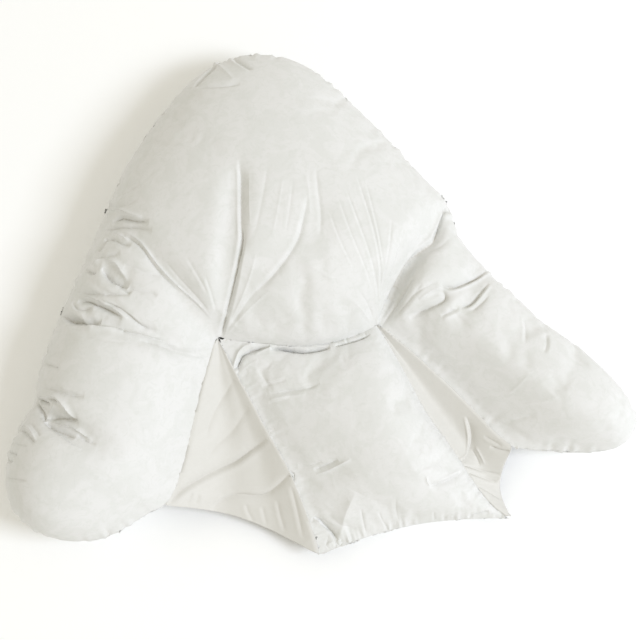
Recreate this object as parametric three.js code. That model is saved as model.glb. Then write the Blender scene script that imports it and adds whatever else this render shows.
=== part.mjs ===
// A filled support pillow, lying on its back on a table.
// Two filled wings run down from a wide filled head. A separate filled lumbar pad is sewn
// to the seam between them, and an unfilled cotton gusset joins each side of the pad to its wing.
// Millimetres, +Z up, +Y towards the head, +X towards the right wing.
import * as THREE from "three";

// Driving sizes
const SEAM_HEIGHT = 68; // the winged cushion's outer seam above the table
const CROTCH_LIFT = 24; // how much higher its inner seam lies between the wings
const PAD_END_SEAM = 34; // the pad's seam above the table at its free end
const WING_LOFT = 80; // a wing's crown above its outer seam, where it is full
const PAD_LOFT = 50; // the pad's crown above its seam
const PAD_CROWN_PLACE = 0.47; // where that crown stands, from the sewn edge to the free end
const PAD_CROWN_ACROSS = 0.68; // and from its left side to its right one
const PAD_END_RISE = 16; // how far the free end's middle draws in towards the head
const CLOTH = 2; // thickness of the gusset cloth
const SEWN_GAP = 0.5; // clearance between pieces that are sewn together
const GUSSET_GAP = 0.65; // the same along a gusset's seams
const FULLNESS = 2.2; // how squarely a filled section rises from its seams
const EDGE_SHARPNESS = 0.68; // 0.5 is a round edge at the seam, and 1 a thin one
const SEWN_SHARPNESS = 0.8; // the same at the winged cushion's inner seam
const PAD_SHARPNESS = 0.85; // and round the pad
const FLATTENING = 1.5; // how soon an underside meets the table
const FOLD_END = 0.15; // share of a fold's depth that is left at its ends
const FOLD_FADE = 1.6; // how soon a fold is full, from its ends
const LATE_BEND = 5; // how late a gusset's rows reach the pad's free end, where they are held back

// Mesh steps
const STEPS_PER_SECTION = 4;
const TOP_STEPS = 22;
const UNDER_STEPS = 8;
const PAD_ROWS_STEPS = 22;
const PAD_COLUMNS = 24;
const GUSSET_STEPS = 10;

// Cross sections of the winged cushion, from the left wing's tip over the head to the
// right wing's tip: where each meets the inner and the outer seam, and its crown's height
// over the outer seam.
const WING_SECTIONS = [
  { inner: [-405, -287], outer: [-405, -287], loft: 0 },
  { inner: [-369, -300], outer: [-434, -263], loft: 34 },
  { inner: [-325, -303], outer: [-451, -229], loft: 59 },
  { inner: [-290, -293], outer: [-451, -190], loft: 72 },
  { inner: [-258, -280], outer: [-438, -150], loft: 78 },
  { inner: [-234, -272], outer: [-414, -116], loft: 80 },
  { inner: [-213, -247], outer: [-395, -92], loft: 78 },
  { inner: [-197, -218], outer: [-386, -60], loft: 80 },
  { inner: [-181, -182], outer: [-371, -28], loft: 83 },
  { inner: [-165, -144], outer: [-349, 12], loft: 85 },
  { inner: [-148, -106], outer: [-317, 63], loft: 83 },
  { inner: [-133, -76], outer: [-287, 111], loft: 79 },
  { inner: [-119, -50], outer: [-258, 158], loft: 78 },
  { inner: [-110, -53], outer: [-213, 230], loft: 88 },
  { inner: [-98, -58], outer: [-158, 290], loft: 96 },
  { inner: [-75, -65], outer: [-101, 341], loft: 101 },
  { inner: [-46, -73], outer: [-50, 365], loft: 104 },
  { inner: [-16, -81], outer: [-4, 370], loft: 105 },
  { inner: [13, -86], outer: [54, 353], loft: 104 },
  { inner: [42, -86], outer: [100, 315], loft: 101 },
  { inner: [68, -83], outer: [137, 264], loft: 96 },
  { inner: [90, -78], outer: [174, 210], loft: 90 },
  { inner: [103, -74], outer: [212, 147], loft: 83 },
  { inner: [109, -71], outer: [245, 94], loft: 72 },
  { inner: [116, -78], outer: [255, 36], loft: 70 },
  { inner: [130, -94], outer: [281, -12], loft: 73 },
  { inner: [150, -117], outer: [316, -62], loft: 77 },
  { inner: [174, -147], outer: [352, -112], loft: 79 },
  { inner: [200, -181], outer: [393, -156], loft: 80 },
  { inner: [226, -219], outer: [423, -193], loft: 78 },
  { inner: [249, -252], outer: [441, -223], loft: 75 },
  { inner: [270, -276], outer: [452, -253], loft: 69 },
  { inner: [308, -288], outer: [452, -273], loft: 57 },
  { inner: [350, -298], outer: [443, -289], loft: 41 },
  { inner: [387, -304], outer: [428, -300], loft: 23 },
  { inner: [408, -305], outer: [408, -305], loft: 0 },
];
// Where a section's crown stands, from the inner to the outer seam. The filling has moved
// outwards in the wings, most of all in the right one, and inwards in the head's left side.
const CROWN_PLACES = [
  { section: 0, place: 0.56 },
  { section: 10, place: 0.56 },
  { section: 14, place: 0.44 },
  { section: 18, place: 0.46 },
  { section: 23, place: 0.56 },
  { section: 27, place: 0.7 },
  { section: 35, place: 0.7 },
];
// Sections whose inner end is a corner of the seam
const LEFT_WING_CORNER = 5;
const LEFT_CROTCH = 12;
const RIGHT_CROTCH = 23;
const RIGHT_WING_CORNER = 31;

// Where rows across the lumbar pad meet its side seams, from below the sewn edge to the free end
const PAD_ROWS = [
  { left: [-105, -98], right: [125, -114] },
  { left: [-89, -145], right: [142, -161] },
  { left: [-70, -202], right: [158, -208] },
  { left: [-55, -243], right: [179, -250] },
  { left: [-45, -283], right: [195, -284] },
  { left: [-38, -318], right: [210, -318] },
  { left: [-32, -352], right: [228, -350] },
  { left: [-30, -378], right: [252, -375] },
];

// Folds pressed into a filled top: a line of [x, y] places, its width and its depth
const WING_FOLDS = [
  { line: [[-45, 182], [-60, 128], [-77, 58], [-92, 4], [-110, -44]], width: 15, depth: 13 },
  { line: [[56, 140], [52, 70], [20, 42], [-42, 8], [-88, -34]], width: 22, depth: 8 },
  { line: [[242, 92], [228, 68], [205, 38], [165, 4], [136, -28], [112, -66]], width: 17, depth: 34 },
  { line: [[-229, 123], [-202, 96], [-179, 54], [-157, 22], [-130, -30]], width: 13, depth: 5 },
  { line: [[-262, 70], [-250, 58], [-226, 42]], width: 13, depth: 13 },
  { line: [[-306, 36], [-282, 20], [-246, -2]], width: 14, depth: 12 },
  { line: [[-332, 14], [-313, 2], [-276, -8], [-200, -44], [-140, -64]], width: 14, depth: 12 },
  { line: [[-384, -104], [-370, -130], [-338, -158], [-300, -176]], width: 15, depth: 15 },
  { line: [[-376, -126], [-352, -134], [-326, -140]], width: 11, depth: 10 },
  { line: [[276, -30], [242, -36], [206, -46], [194, -60]], width: 13, depth: 14 },
  { line: [[200, -54], [176, -66], [152, -76]], width: 12, depth: 9 },
  { line: [[262, -58], [240, -66], [228, -74]], width: 11, depth: 9 },
  { line: [[342, -106], [320, -112], [304, -126]], width: 13, depth: 8 },
];
const PAD_FOLDS = [
  { line: [[-104, -98], [-92, -80], [-60, -78], [-16, -92]], width: 12, depth: 12 },
  { line: [[-46, -146], [-14, -148], [18, -141]], width: 16, depth: 7 },
  { line: [[-40, -262], [-12, -266], [34, -257]], width: 14, depth: 9 },
  { line: [[128, -306], [150, -308], [186, -294]], width: 14, depth: 9 },
];

// The two gussets: how far the middle hangs below the seams and the soft valleys that run
// along it, as shares of the gusset's width there, how the free edge curves in, and how late
// its rows reach the pad's free end
const LEFT_GUSSET = {
  sag: 0.11,
  valleys: [
    { across: 0.3, width: 0.18, depth: 0.06 },
    { across: 0.72, width: 0.12, depth: 0.03 },
  ],
  edgeBow: new THREE.Vector3(0, 20, 0),
  lateReach: 0,
};
const RIGHT_GUSSET = {
  sag: 0.18,
  valleys: [{ across: 0.45, width: 0.25, depth: 0.08 }],
  edgeBow: new THREE.Vector3(-14, 3, 0),
  lateReach: 0.38,
};

// A filled section's height from one seam at 0 to the other at 1, as a share of its crown
const dome = (u, sharpness) => (1 - Math.abs(2 * u - 1) ** FULLNESS) ** sharpness;

// The same with its crown at another place than the middle
const leaningDome = (u, sharpness, crownPlace) =>
  dome(u ** (Math.log(0.5) / Math.log(crownPlace)), sharpness);

// The winged cushion's section: gentle at the inner seam, and round at the outer one
const wingDome = (u, crownPlace) =>
  leaningDome(u, THREE.MathUtils.lerp(SEWN_SHARPNESS, EDGE_SHARPNESS, u), crownPlace);

// Steps from 0 to 1, closer together at both ends, where a filled edge is steep
const easedSteps = (count) =>
  Array.from({ length: count + 1 }, (_, i) => (1 - Math.cos((Math.PI * i) / count)) / 2);

const smoothThrough = (places) =>
  new THREE.CatmullRomCurve3(places.map(([x, y, z = 0]) => new THREE.Vector3(x, y, z)));

// Distance in plan from a place to a fold's line, and how far along the line it is, 0 to 1
function nearestOnLine(line, place) {
  const point = new THREE.Vector3(place.x, place.y, 0);
  let nearest = { distance: Infinity, along: 0 };
  for (let i = 0; i + 1 < line.length; i += 1) {
    const start = new THREE.Vector3(...line[i], 0);
    const piece = new THREE.Line3(start, new THREE.Vector3(...line[i + 1], 0));
    const share = piece.closestPointToPointParameter(point, true);
    const distance = piece.at(share, new THREE.Vector3()).distanceTo(point);
    if (distance < nearest.distance) nearest = { distance, along: (i + share) / (line.length - 1) };
  }
  return nearest;
}

// How far the folds press a filled top down at a place. A fold fades out at its ends.
function foldDepth(folds, place) {
  return folds.reduce((sum, { line, width, depth }) => {
    const { distance, along } = nearestOnLine(line, place);
    const fade = Math.min(1, FOLD_END + FOLD_FADE * Math.sin(Math.PI * along));
    return sum + depth * fade * Math.exp(-((distance / width) ** 2));
  }, 0);
}

// A top rises from its seam by its loft, less its folds, which never reach down to the seam
function topHeight(seam, rise, folds, place) {
  const fold = foldDepth(folds, place);
  return seam + (rise * rise) / (rise + fold + Number.EPSILON);
}

// An underside curves down from its seam and flattens on the table
function undersideHeight(seam, bulge) {
  return seam * (1 - Math.min(1, FLATTENING * bulge)) ** 2;
}

// A closed body from skins, which are grids of places that share their borders
function closedBody(skins) {
  const positions = [];
  const known = new Map();
  const indexOf = (place) => {
    const key = place.toArray().map((value) => value.toFixed(3)).join();
    if (!known.has(key)) {
      known.set(key, known.size);
      positions.push(...place.toArray());
    }
    return known.get(key);
  };
  const triangles = [];
  const addTriangle = (a, b, c) => {
    if (a !== b && b !== c && c !== a) triangles.push(a, b, c);
  };
  for (const { rows, under } of skins) {
    for (let i = 0; i + 1 < rows.length; i += 1) {
      for (let j = 0; j + 1 < rows[i].length; j += 1) {
        const [a, b] = [rows[i][j], rows[i][j + 1]].map(indexOf);
        const [c, d] = [rows[i + 1][j], rows[i + 1][j + 1]].map(indexOf);
        addTriangle(a, ...(under ? [b, d] : [d, b]));
        addTriangle(a, ...(under ? [d, c] : [c, d]));
      }
    }
  }
  const geometry = new THREE.BufferGeometry();
  geometry.setAttribute("position", new THREE.Float32BufferAttribute(positions, 3));
  geometry.setIndex(triangles);
  geometry.computeVertexNormals();
  return geometry;
}

// The inner seam is lifted where the wings meet, and comes down again along each wing
function innerLift(section) {
  const { smoothstep } = THREE.MathUtils;
  const rising = smoothstep(section, LEFT_WING_CORNER, LEFT_CROTCH);
  const falling = smoothstep(section, RIGHT_CROTCH, RIGHT_WING_CORNER);
  return CROTCH_LIFT * (rising - falling);
}

function crownPlaceAt(section) {
  const { lerp, smoothstep } = THREE.MathUtils;
  return CROWN_PLACES.slice(1).reduce((place, end, i) => {
    const share = smoothstep(section, CROWN_PLACES[i].section, end.section);
    return lerp(place, end.place, share);
  }, CROWN_PLACES[0].place);
}

// The winged cushion's sections, evenly stepped between the ones in the table
const innerSeam = smoothThrough(
  WING_SECTIONS.map(({ inner }, i) => [...inner, SEAM_HEIGHT + innerLift(i)]),
);
const outerSeam = smoothThrough(WING_SECTIONS.map(({ outer }) => [...outer, SEAM_HEIGHT]));
const loftAlong = smoothThrough(
  WING_SECTIONS.map(({ loft }, i) => [i, 0, loft - innerLift(i) / 2]),
);
const wingSteps = (WING_SECTIONS.length - 1) * STEPS_PER_SECTION;
const wingSections = Array.from({ length: wingSteps + 1 }, (_, i) => ({
  inner: innerSeam.getPoint(i / wingSteps),
  outer: outerSeam.getPoint(i / wingSteps),
  loft: loftAlong.getPoint(i / wingSteps).z,
  crownPlace: crownPlaceAt(i / STEPS_PER_SECTION),
}));
const innerSeamBetween = (first, last) =>
  wingSections
    .slice(first * STEPS_PER_SECTION, last * STEPS_PER_SECTION + 1)
    .map(({ inner }) => inner);

function wingedCushion() {
  const acrossSection = ({ inner, outer }, u) => new THREE.Vector3().lerpVectors(inner, outer, u);
  const top = wingSections.map((section) =>
    easedSteps(TOP_STEPS).map((u) => {
      const place = acrossSection(section, u);
      const rise = section.loft * wingDome(u, section.crownPlace);
      return place.setZ(topHeight(place.z, rise, WING_FOLDS, place));
    }),
  );
  const under = wingSections.map((section) =>
    easedSteps(UNDER_STEPS).map((u) => {
      const bulge = dome(u, EDGE_SHARPNESS) * Math.min(1, section.loft / WING_LOFT);
      const place = acrossSection(section, u);
      return place.setZ(undersideHeight(place.z, bulge));
    }),
  );
  return closedBody([{ rows: top }, { rows: under, under: true }]);
}

// The lumbar pad is sewn along its top edge to the inner seam between the two wings
const sewnEdge = innerSeamBetween(LEFT_CROTCH, RIGHT_CROTCH).map((place) =>
  place.clone().setY(place.y - SEWN_GAP),
);
const padSide = (side, corner) =>
  smoothThrough([[corner.x, corner.y], ...PAD_ROWS.map((row) => row[side])]);
const padLeft = padSide("left", sewnEdge[0]);
const padRight = padSide("right", sewnEdge.at(-1));
const padSeam = (v) => THREE.MathUtils.lerp(SEAM_HEIGHT + CROTCH_LIFT, PAD_END_SEAM, v);

// A place on the sewn edge, from its left corner at 0 to its right corner at 1
function onSewnEdge(u) {
  const step = u * (sewnEdge.length - 1);
  const i = Math.min(Math.floor(step), sewnEdge.length - 2);
  return new THREE.Vector3().lerpVectors(sewnEdge[i], sewnEdge[i + 1], step - i);
}

// A place on the pad at its seam's height. Rows follow the sewn edge's curve near the
// head, and the drawn-in free end at the other end.
function onPad(u, v) {
  const place = new THREE.Vector3().lerpVectors(padLeft.getPoint(v), padRight.getPoint(v), u);
  const chord = new THREE.Vector3().lerpVectors(sewnEdge[0], sewnEdge.at(-1), u);
  place.addScaledVector(onSewnEdge(u).sub(chord), (1 - v) ** 2);
  place.y += PAD_END_RISE * Math.sin(Math.PI * u) * v ** 4;
  return place.setZ(padSeam(v));
}

function lumbarPad() {
  const skin = (heightAt) =>
    easedSteps(PAD_ROWS_STEPS).map((v) =>
      easedSteps(PAD_COLUMNS).map((u) => {
        const place = onPad(u, v);
        const bulge =
          leaningDome(u, PAD_SHARPNESS, PAD_CROWN_ACROSS) *
          leaningDome(v, PAD_SHARPNESS, PAD_CROWN_PLACE);
        return place.setZ(heightAt(place, bulge));
      }),
    );
  const top = skin((place, bulge) => topHeight(place.z, PAD_LOFT * bulge, PAD_FOLDS, place));
  const under = skin((place, bulge) => undersideHeight(place.z, bulge));
  return closedBody([{ rows: top }, { rows: under, under: true }]);
}

// A gusset hangs between a wing's inner seam and a side of the pad. Its rows run across
// it from left to right, the first one just below the crotch.
function gusset(wingEdge, padEdge, { sag, valleys, edgeBow, lateReach }, padIsLeft) {
  const rows = wingEdge.slice(1).map((onWing, i) => {
    const v = (i + 1) / (wingEdge.length - 1);
    const reach = THREE.MathUtils.lerp(v, v ** LATE_BEND, lateReach);
    const onPadSide = padEdge.getPoint(reach).setZ(padSeam(reach));
    const ends = padIsLeft ? [onPadSide, onWing] : [onWing, onPadSide];
    const width = onWing.distanceTo(onPadSide);
    const gap = GUSSET_GAP / width;
    return Array.from({ length: GUSSET_STEPS + 1 }, (_, j) => {
      const u = j / GUSSET_STEPS;
      const share = THREE.MathUtils.lerp(gap, 1 - gap, u);
      const hang = Math.sin(Math.PI * u);
      const inValley = ({ across, width, depth }) =>
        depth * Math.exp(-(((u - across) / width) ** 2));
      const drop = valleys.reduce((sum, valley) => sum + inValley(valley), sag);
      const place = new THREE.Vector3().lerpVectors(...ends, share);
      place.z = Math.max(CLOTH / 2, place.z - width * hang * drop);
      return place.addScaledVector(edgeBow, hang * v ** 3);
    });
  });
  return sheetBody(rows);
}

// A sheet of cloth: two skins a thickness apart, and a narrow wall round their border
function sheetBody(rows) {
  const lifted = (height) => rows.map((row) => row.map((p) => p.clone().setZ(p.z + height)));
  const round = ([first, ...rest]) => [
    ...first,
    ...rest.map((row) => row.at(-1)),
    ...rest.at(-1).slice(0, -1).reverse(),
    ...rest.slice(0, -1).map((row) => row[0]).reverse(),
    first[0],
  ];
  const [top, under] = [lifted(CLOTH / 2), lifted(-CLOTH / 2)];
  const underBorder = round(under);
  const wall = round(top).map((place, i) => [place, underBorder[i]]);
  return closedBody([{ rows: top }, { rows: under, under: true }, { rows: wall }]);
}

// Down-proof cotton: the filling greys the white cloth a little, and bare cloth is creamier
const filledCotton = () =>
  new THREE.MeshStandardMaterial({ color: "#efefec", roughness: 0.72, metalness: 0 });
const bareCotton = () =>
  new THREE.MeshStandardMaterial({ color: "#ece9e0", roughness: 0.78, metalness: 0 });

const pillow = new THREE.Group();
function addPiece(name, geometry, material) {
  const piece = new THREE.Mesh(geometry, material);
  piece.name = name;
  pillow.add(piece);
}
addPiece("winged_cushion", wingedCushion(), filledCotton());
addPiece("lumbar_pad", lumbarPad(), filledCotton());
const leftWingEdge = innerSeamBetween(LEFT_WING_CORNER, LEFT_CROTCH).reverse();
const rightWingEdge = innerSeamBetween(RIGHT_CROTCH, RIGHT_WING_CORNER);
addPiece("left_gusset", gusset(leftWingEdge, padLeft, LEFT_GUSSET, false), bareCotton());
addPiece("right_gusset", gusset(rightWingEdge, padRight, RIGHT_GUSSET, true), bareCotton());

// The origin is on the table, under the middle of the pillow
const middle = new THREE.Box3().setFromObject(pillow).getCenter(new THREE.Vector3());
pillow.position.set(-middle.x, -middle.y, 0);

export default pillow;
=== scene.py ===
# %% [markdown]
# # A winged support pillow
# The real pillow is white down-proof cotton, filled with feathers. A wide head runs out into
# two wings, and a filled lumbar pad is sewn to the seam between them. Unfilled cotton gussets
# join the pad's sides to the wings. It lies on its back, and the camera looks almost straight
# down on it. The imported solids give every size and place. This script turns them into cloth.

# %% Load the frame
import math

import bmesh
import bpy
import numpy as np
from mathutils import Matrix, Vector
from mathutils.bvhtree import BVHTree
from mathutils.kdtree import KDTree


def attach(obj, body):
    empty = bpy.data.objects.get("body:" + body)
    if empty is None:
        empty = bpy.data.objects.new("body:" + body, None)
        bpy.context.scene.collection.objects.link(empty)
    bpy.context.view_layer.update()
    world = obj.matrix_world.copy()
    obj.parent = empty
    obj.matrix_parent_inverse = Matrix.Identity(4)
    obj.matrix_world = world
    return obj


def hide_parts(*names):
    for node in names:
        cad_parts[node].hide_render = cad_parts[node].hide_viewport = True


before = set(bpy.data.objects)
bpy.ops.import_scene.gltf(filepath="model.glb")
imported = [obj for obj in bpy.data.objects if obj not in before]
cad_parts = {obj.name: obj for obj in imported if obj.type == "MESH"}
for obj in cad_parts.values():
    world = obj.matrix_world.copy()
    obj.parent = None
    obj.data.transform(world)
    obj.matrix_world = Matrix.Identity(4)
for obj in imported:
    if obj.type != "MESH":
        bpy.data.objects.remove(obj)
bpy.context.view_layer.update()
bpy.ops.object.select_all(action="DESELECT")

# %% [markdown]
# ## The camera
# The picture shows the pillow from above, turned by ten degrees and leaning a little towards
# its free end. A long lens from over two metres keeps the wings' outline nearly parallel. The
# camera comes first, because places on the pillow are read through it later on.

# %% Set up the camera
PICTURE_SIDE = 640  # pixels
LENS = 85  # millimetres, on a sensor 36 wide
VIEW_TURN = math.radians(-10)
VIEW_HEIGHT = math.radians(80)
VIEW_DISTANCE = 2.264
VIEW_CENTRE = Vector((0.0324, -0.031, 0.0))

towards_camera = Vector(
    (
        math.sin(VIEW_TURN) * math.cos(VIEW_HEIGHT),
        -math.cos(VIEW_TURN) * math.cos(VIEW_HEIGHT),
        math.sin(VIEW_HEIGHT),
    )
)
picture_right = Vector((math.cos(VIEW_TURN), math.sin(VIEW_TURN), 0))
picture_up = towards_camera.cross(picture_right)
eye = VIEW_CENTRE + VIEW_DISTANCE * towards_camera

bpy.ops.object.camera_add(location=eye)
camera = bpy.context.object
camera.name = "camera"
camera.rotation_euler = (-towards_camera).to_track_quat("-Z", "Y").to_euler()
camera.data.lens = LENS
camera.data.sensor_width = 36
camera.data.clip_end = 20
bpy.context.scene.camera = camera


def sight_line(x, y):
    """The direction from the eye through a place in the picture, in pixels from its top left."""
    reach = LENS / 36 * PICTURE_SIDE
    middle = PICTURE_SIDE / 2
    across = (x - middle) / reach
    down = (y - middle) / reach
    return (picture_right * across - picture_up * down - towards_camera).normalized()


# %% [markdown]
# ## From solid to cloth
# A filled case is one skin all round. A copy of the solid is the right size and lies in the
# right place, but its triangles are long and uneven. A voxel remesh turns it into even small
# squares, which bend like cloth. The seam would be lost in that, so its line is read from the
# solid first: it is the only closed line of edges at the seam's height.

# %% Copy a solid and read its seam
def select_only(piece):
    bpy.ops.object.select_all(action="DESELECT")
    piece.select_set(True)
    bpy.context.view_layer.objects.active = piece


def copy_of_solid(node, name):
    """A new piece from a solid's mesh, with the corners of its loose triangles joined."""
    piece = bpy.data.objects.new(name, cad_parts[node].data.copy())
    bpy.context.collection.objects.link(piece)
    piece.data.materials.clear()
    select_only(piece)
    bpy.ops.object.mode_set(mode="EDIT")
    bpy.ops.mesh.select_all(action="SELECT")
    bpy.ops.mesh.remove_doubles(threshold=0.000001)
    bpy.ops.object.mode_set(mode="OBJECT")
    return piece


def places_of(piece):
    flat = np.empty(len(piece.data.vertices) * 3)
    piece.data.vertices.foreach_get("co", flat)
    return flat.reshape(-1, 3)


def normals_of(piece):
    flat = np.empty(len(piece.data.vertices) * 3)
    piece.data.vertices.foreach_get("normal", flat)
    return flat.reshape(-1, 3)


def put_places(piece, places):
    piece.data.vertices.foreach_set("co", places.ravel())
    piece.data.update()


def seam_of(piece):
    """The closed line of edges where the top's and the underside's skins meet.
    A skin's slope turns sharply there, so it is the fold between faces that look up and down."""
    shape = bmesh.new()
    shape.from_mesh(piece.data)
    after = {}
    for edge in shape.edges:
        up = [face.normal.z > 0 for face in edge.link_faces]
        if len(up) == 2 and up[0] != up[1]:
            first, second = edge.verts
            after.setdefault(first.index, []).append(second.index)
            after.setdefault(second.index, []).append(first.index)
    shape.verts.ensure_lookup_table()
    start = max(after, key=lambda i: shape.verts[i].co.y)
    line = [start]
    seen = {start}
    while True:
        onward = [i for i in after[line[-1]] if i not in seen]
        if not onward:
            break
        line.append(onward[0])
        seen.add(onward[0])
    places = np.array([shape.verts[i].co[:] for i in line])
    shape.free()
    return places


def even_line(line, step, closed=False):
    """The same line, with its places a step apart."""
    line = np.asarray(line, float)
    if closed:
        line = np.vstack([line, line[:1]])
    lengths = np.linalg.norm(np.diff(line, axis=0), axis=1)
    along = np.concatenate([[0], np.cumsum(lengths)])
    wanted = np.linspace(0, along[-1], max(2, int(along[-1] / step) + 1))
    return np.stack([np.interp(wanted, along, line[:, k]) for k in range(line.shape[1])], axis=1)


casing = copy_of_solid("winged_cushion", "casing")
pad = copy_of_solid("lumbar_pad", "pad")
casing_seam = even_line(seam_of(casing), 0.001, closed=True)
pad_seam = even_line(seam_of(pad), 0.001, closed=True)
print("casing seam", len(casing_seam), "places, pad seam", len(pad_seam))

# %% Remesh both cases into even squares
CASING_SQUARE = 0.0072
PAD_SQUARE = 0.0045


def even_squares(piece, size):
    piece.data.remesh_voxel_size = size
    select_only(piece)
    bpy.ops.object.voxel_remesh()
    print(piece.name, len(piece.data.polygons), "squares of", size)


even_squares(casing, CASING_SQUARE)
even_squares(pad, PAD_SQUARE)

# %% [markdown]
# ## Lines on cloth
# Folds, seams and creases are all lines. For a fold, beside measures for each point of a mesh
# how far it is from the line, on which side, and how far along. A seam is a long line of closely
# spaced points, so near_line looks its nearest point up in a tree instead, which is quick.


# %% Measure how far points are from a line
def beside(line, places, normals, reach):
    """Which places are within reach of a line, and their distances, sides and shares along it."""
    low = line.min(axis=0) - reach
    high = line.max(axis=0) + reach
    near = np.nonzero(((places > low) & (places < high)).all(axis=1))[0]
    points = places[near]
    best = np.full(len(near), np.inf)
    side = np.zeros(len(near))
    share = np.zeros(len(near))
    for i in range(len(line) - 1):
        way = line[i + 1] - line[i]
        length2 = float(way @ way) or 1e-12
        offset = points - line[i]
        t = np.clip(offset @ way / length2, 0, 1)
        away = offset - t[:, None] * way
        distance = np.linalg.norm(away, axis=1)
        closer = distance < best
        best[closer] = distance[closer]
        turned = np.einsum("ij,ij->i", np.cross(way, away), normals[near])
        side[closer] = np.sign(turned[closer])
        share[closer] = (i + t[closer]) / (len(line) - 1)
    kept = best < reach
    return near[kept], best[kept], side[kept], share[kept]


def near_line(line, places, reach):
    """Which places are near a closely stepped line, how far, and the number of its nearest point."""
    tree = KDTree(len(line))
    for i, place in enumerate(line):
        tree.insert(place, i)
    tree.balance()
    low = line.min(axis=0) - reach
    high = line.max(axis=0) + reach
    near = np.nonzero(((places > low) & (places < high)).all(axis=1))[0]
    found = [tree.find(places[i]) for i in near]
    distance = np.array([away for _, _, away in found])
    number = np.array([i for _, i, _ in found])
    kept = distance < reach
    return near[kept], distance[kept], number[kept]


def smooth_line(corners, steps=8):
    """A smooth curve through a few places, by Catmull and Rom's rule."""
    corners = np.asarray(corners, float)
    ends = np.vstack([2 * corners[0] - corners[1], corners, 2 * corners[-1] - corners[-2]])
    t = np.linspace(0, 1, steps, endpoint=False)[:, None]
    parts = []
    for i in range(len(corners) - 1):
        a, b, c, d = ends[i : i + 4]
        parts.append(
            0.5 * (2 * b + (c - a) * t + (2 * a - 5 * b + 4 * c - d) * t**2 + (3 * b - a - 3 * c + d) * t**3)
        )
    return np.vstack([*parts, corners[-1:]])


# %% [markdown]
# ## Reading places off the picture
# The folds of a soft pillow are where they happened to fall, so they are listed one by one: a few
# places along each fold are read off the picture. A ray from the camera through such a place
# meets the cloth where the fold runs. Past the outline, the ray is stopped at the seam's height.

# %% Lay a line of picture places on the cloth
SEAM_HEIGHT = 0.068
LINE_ROUNDS = 5  # evens out the jumps where a line of sight passes over a bulge


def surface_of(piece):
    shape = bmesh.new()
    shape.from_mesh(piece.data)
    tree = BVHTree.FromBMesh(shape)
    shape.free()
    return tree


def on_cloth(surface, corners):
    """The places on the cloth under a smooth line through places in the picture."""
    found = []
    for x, y in smooth_line(corners, 6):
        way = sight_line(x, y)
        hit = surface.ray_cast(eye, way)[0]
        if hit is None:
            hit = eye + way * ((SEAM_HEIGHT - eye.z) / way.z)
        found.append(hit[:])
    line = np.array(found)
    for _ in range(LINE_ROUNDS):
        line[1:-1] = (line[:-2] + 2 * line[1:-1] + line[2:]) / 4
    return line


# %% [markdown]
# ## Filling the cases
# Feathers push a case out until its cloth is tight. Along the seams it can't move, and where
# the seam is shorter than the cloth, the cloth gathers into puckers. Blender's cloth does both:
# pressure fills the case, the seam's points are held, and the cloth is given a little more
# width than it needs. Every point may move only so far, so the pillow keeps its size.

# %% Fill a case
FILL_FRAMES = 18
HELD_REACH = 0.0055
LYING_HEIGHT = 0.002  # what lies lower than this rests on the ground and is held too
RISE_REACH = 0.035  # how far from its seam a case is filled out fully


def fill_case(piece, seam, slack, start_in, most):
    places = places_of(piece)
    normals = normals_of(piece)
    rise = np.ones(len(places))
    near, distance, _ = near_line(seam, places, RISE_REACH)
    rise[near] = distance / RISE_REACH
    held = np.zeros(len(places))
    held[near[distance < HELD_REACH]] = 1
    held[places[:, 2] < LYING_HEIGHT] = 1
    start = places - normals * (start_in * (1 - held) * rise)[:, None]
    put_places(piece, start)
    group = piece.vertex_groups.new(name="held")
    group.add([int(i) for i in np.nonzero(held)[0]], 1.0, "REPLACE")

    cloth = piece.modifiers.new("Filling", "CLOTH")
    cloth.collision_settings.use_collision = False
    settings = cloth.settings
    settings.quality = 4
    settings.vertex_group_mass = "held"
    settings.use_pressure = True
    settings.uniform_pressure_force = 4
    settings.effector_weights.gravity = 0
    settings.shrink_min = -slack
    settings.bending_stiffness = 0.1
    for moment in range(1, FILL_FRAMES + 1):
        bpy.context.scene.frame_set(moment)
    filled = piece.evaluated_get(bpy.context.evaluated_depsgraph_get()).to_mesh()
    flat = np.empty(len(filled.vertices) * 3)
    filled.vertices.foreach_get("co", flat)
    moved = flat.reshape(-1, 3) - start
    piece.modifiers.remove(cloth)
    bpy.context.scene.frame_set(1)

    far = np.linalg.norm(moved, axis=1)
    kept = rise * most * np.tanh(far / most) / np.maximum(far, 1e-9)
    ended = start + moved * kept[:, None]
    ended[:, 2] = np.maximum(ended[:, 2], 0)
    put_places(piece, ended)
    piece.vertex_groups.clear()
    print(piece.name, "moved up to", round(float((far * kept).max()) * 1000, 1), "mm")


fill_case(casing, casing_seam, slack=0.02, start_in=0.004, most=0.009)
fill_case(pad, pad_seam, slack=0.025, start_in=0.003, most=0.008)


# %% Smooth the squares once
def refine(piece, levels):
    finer = piece.modifiers.new("Finer", "SUBSURF")
    finer.levels = levels
    select_only(piece)
    bpy.ops.object.modifier_apply(modifier="Finer")


refine(casing, 1)
refine(pad, 1)

# %% [markdown]
# ## Seams, sharpened and eased
# The remesh rounded the seams off, so the cloth beside each one is pulled back onto its line,
# and the pad's into its four corners. Last, the squares next to the seams are evened out.
# Where two pieces are sewn together, the cloth doesn't rise from the seam like a wall: the
# stitches hold it down, so its first centimetres are a slope. It is gentlest at the two corners
# of the crotch, where four pieces meet and all the cloth is drawn to one point.

# %% Pull the cloth onto the seams
SEAM_PULL = 0.0045
CHAIN_REACH = 0.009
CLOSE_POINTS = 0.0006
LET_OUT = 0.00045  # closes the clearance between the solids, as the real stitches do


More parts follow.
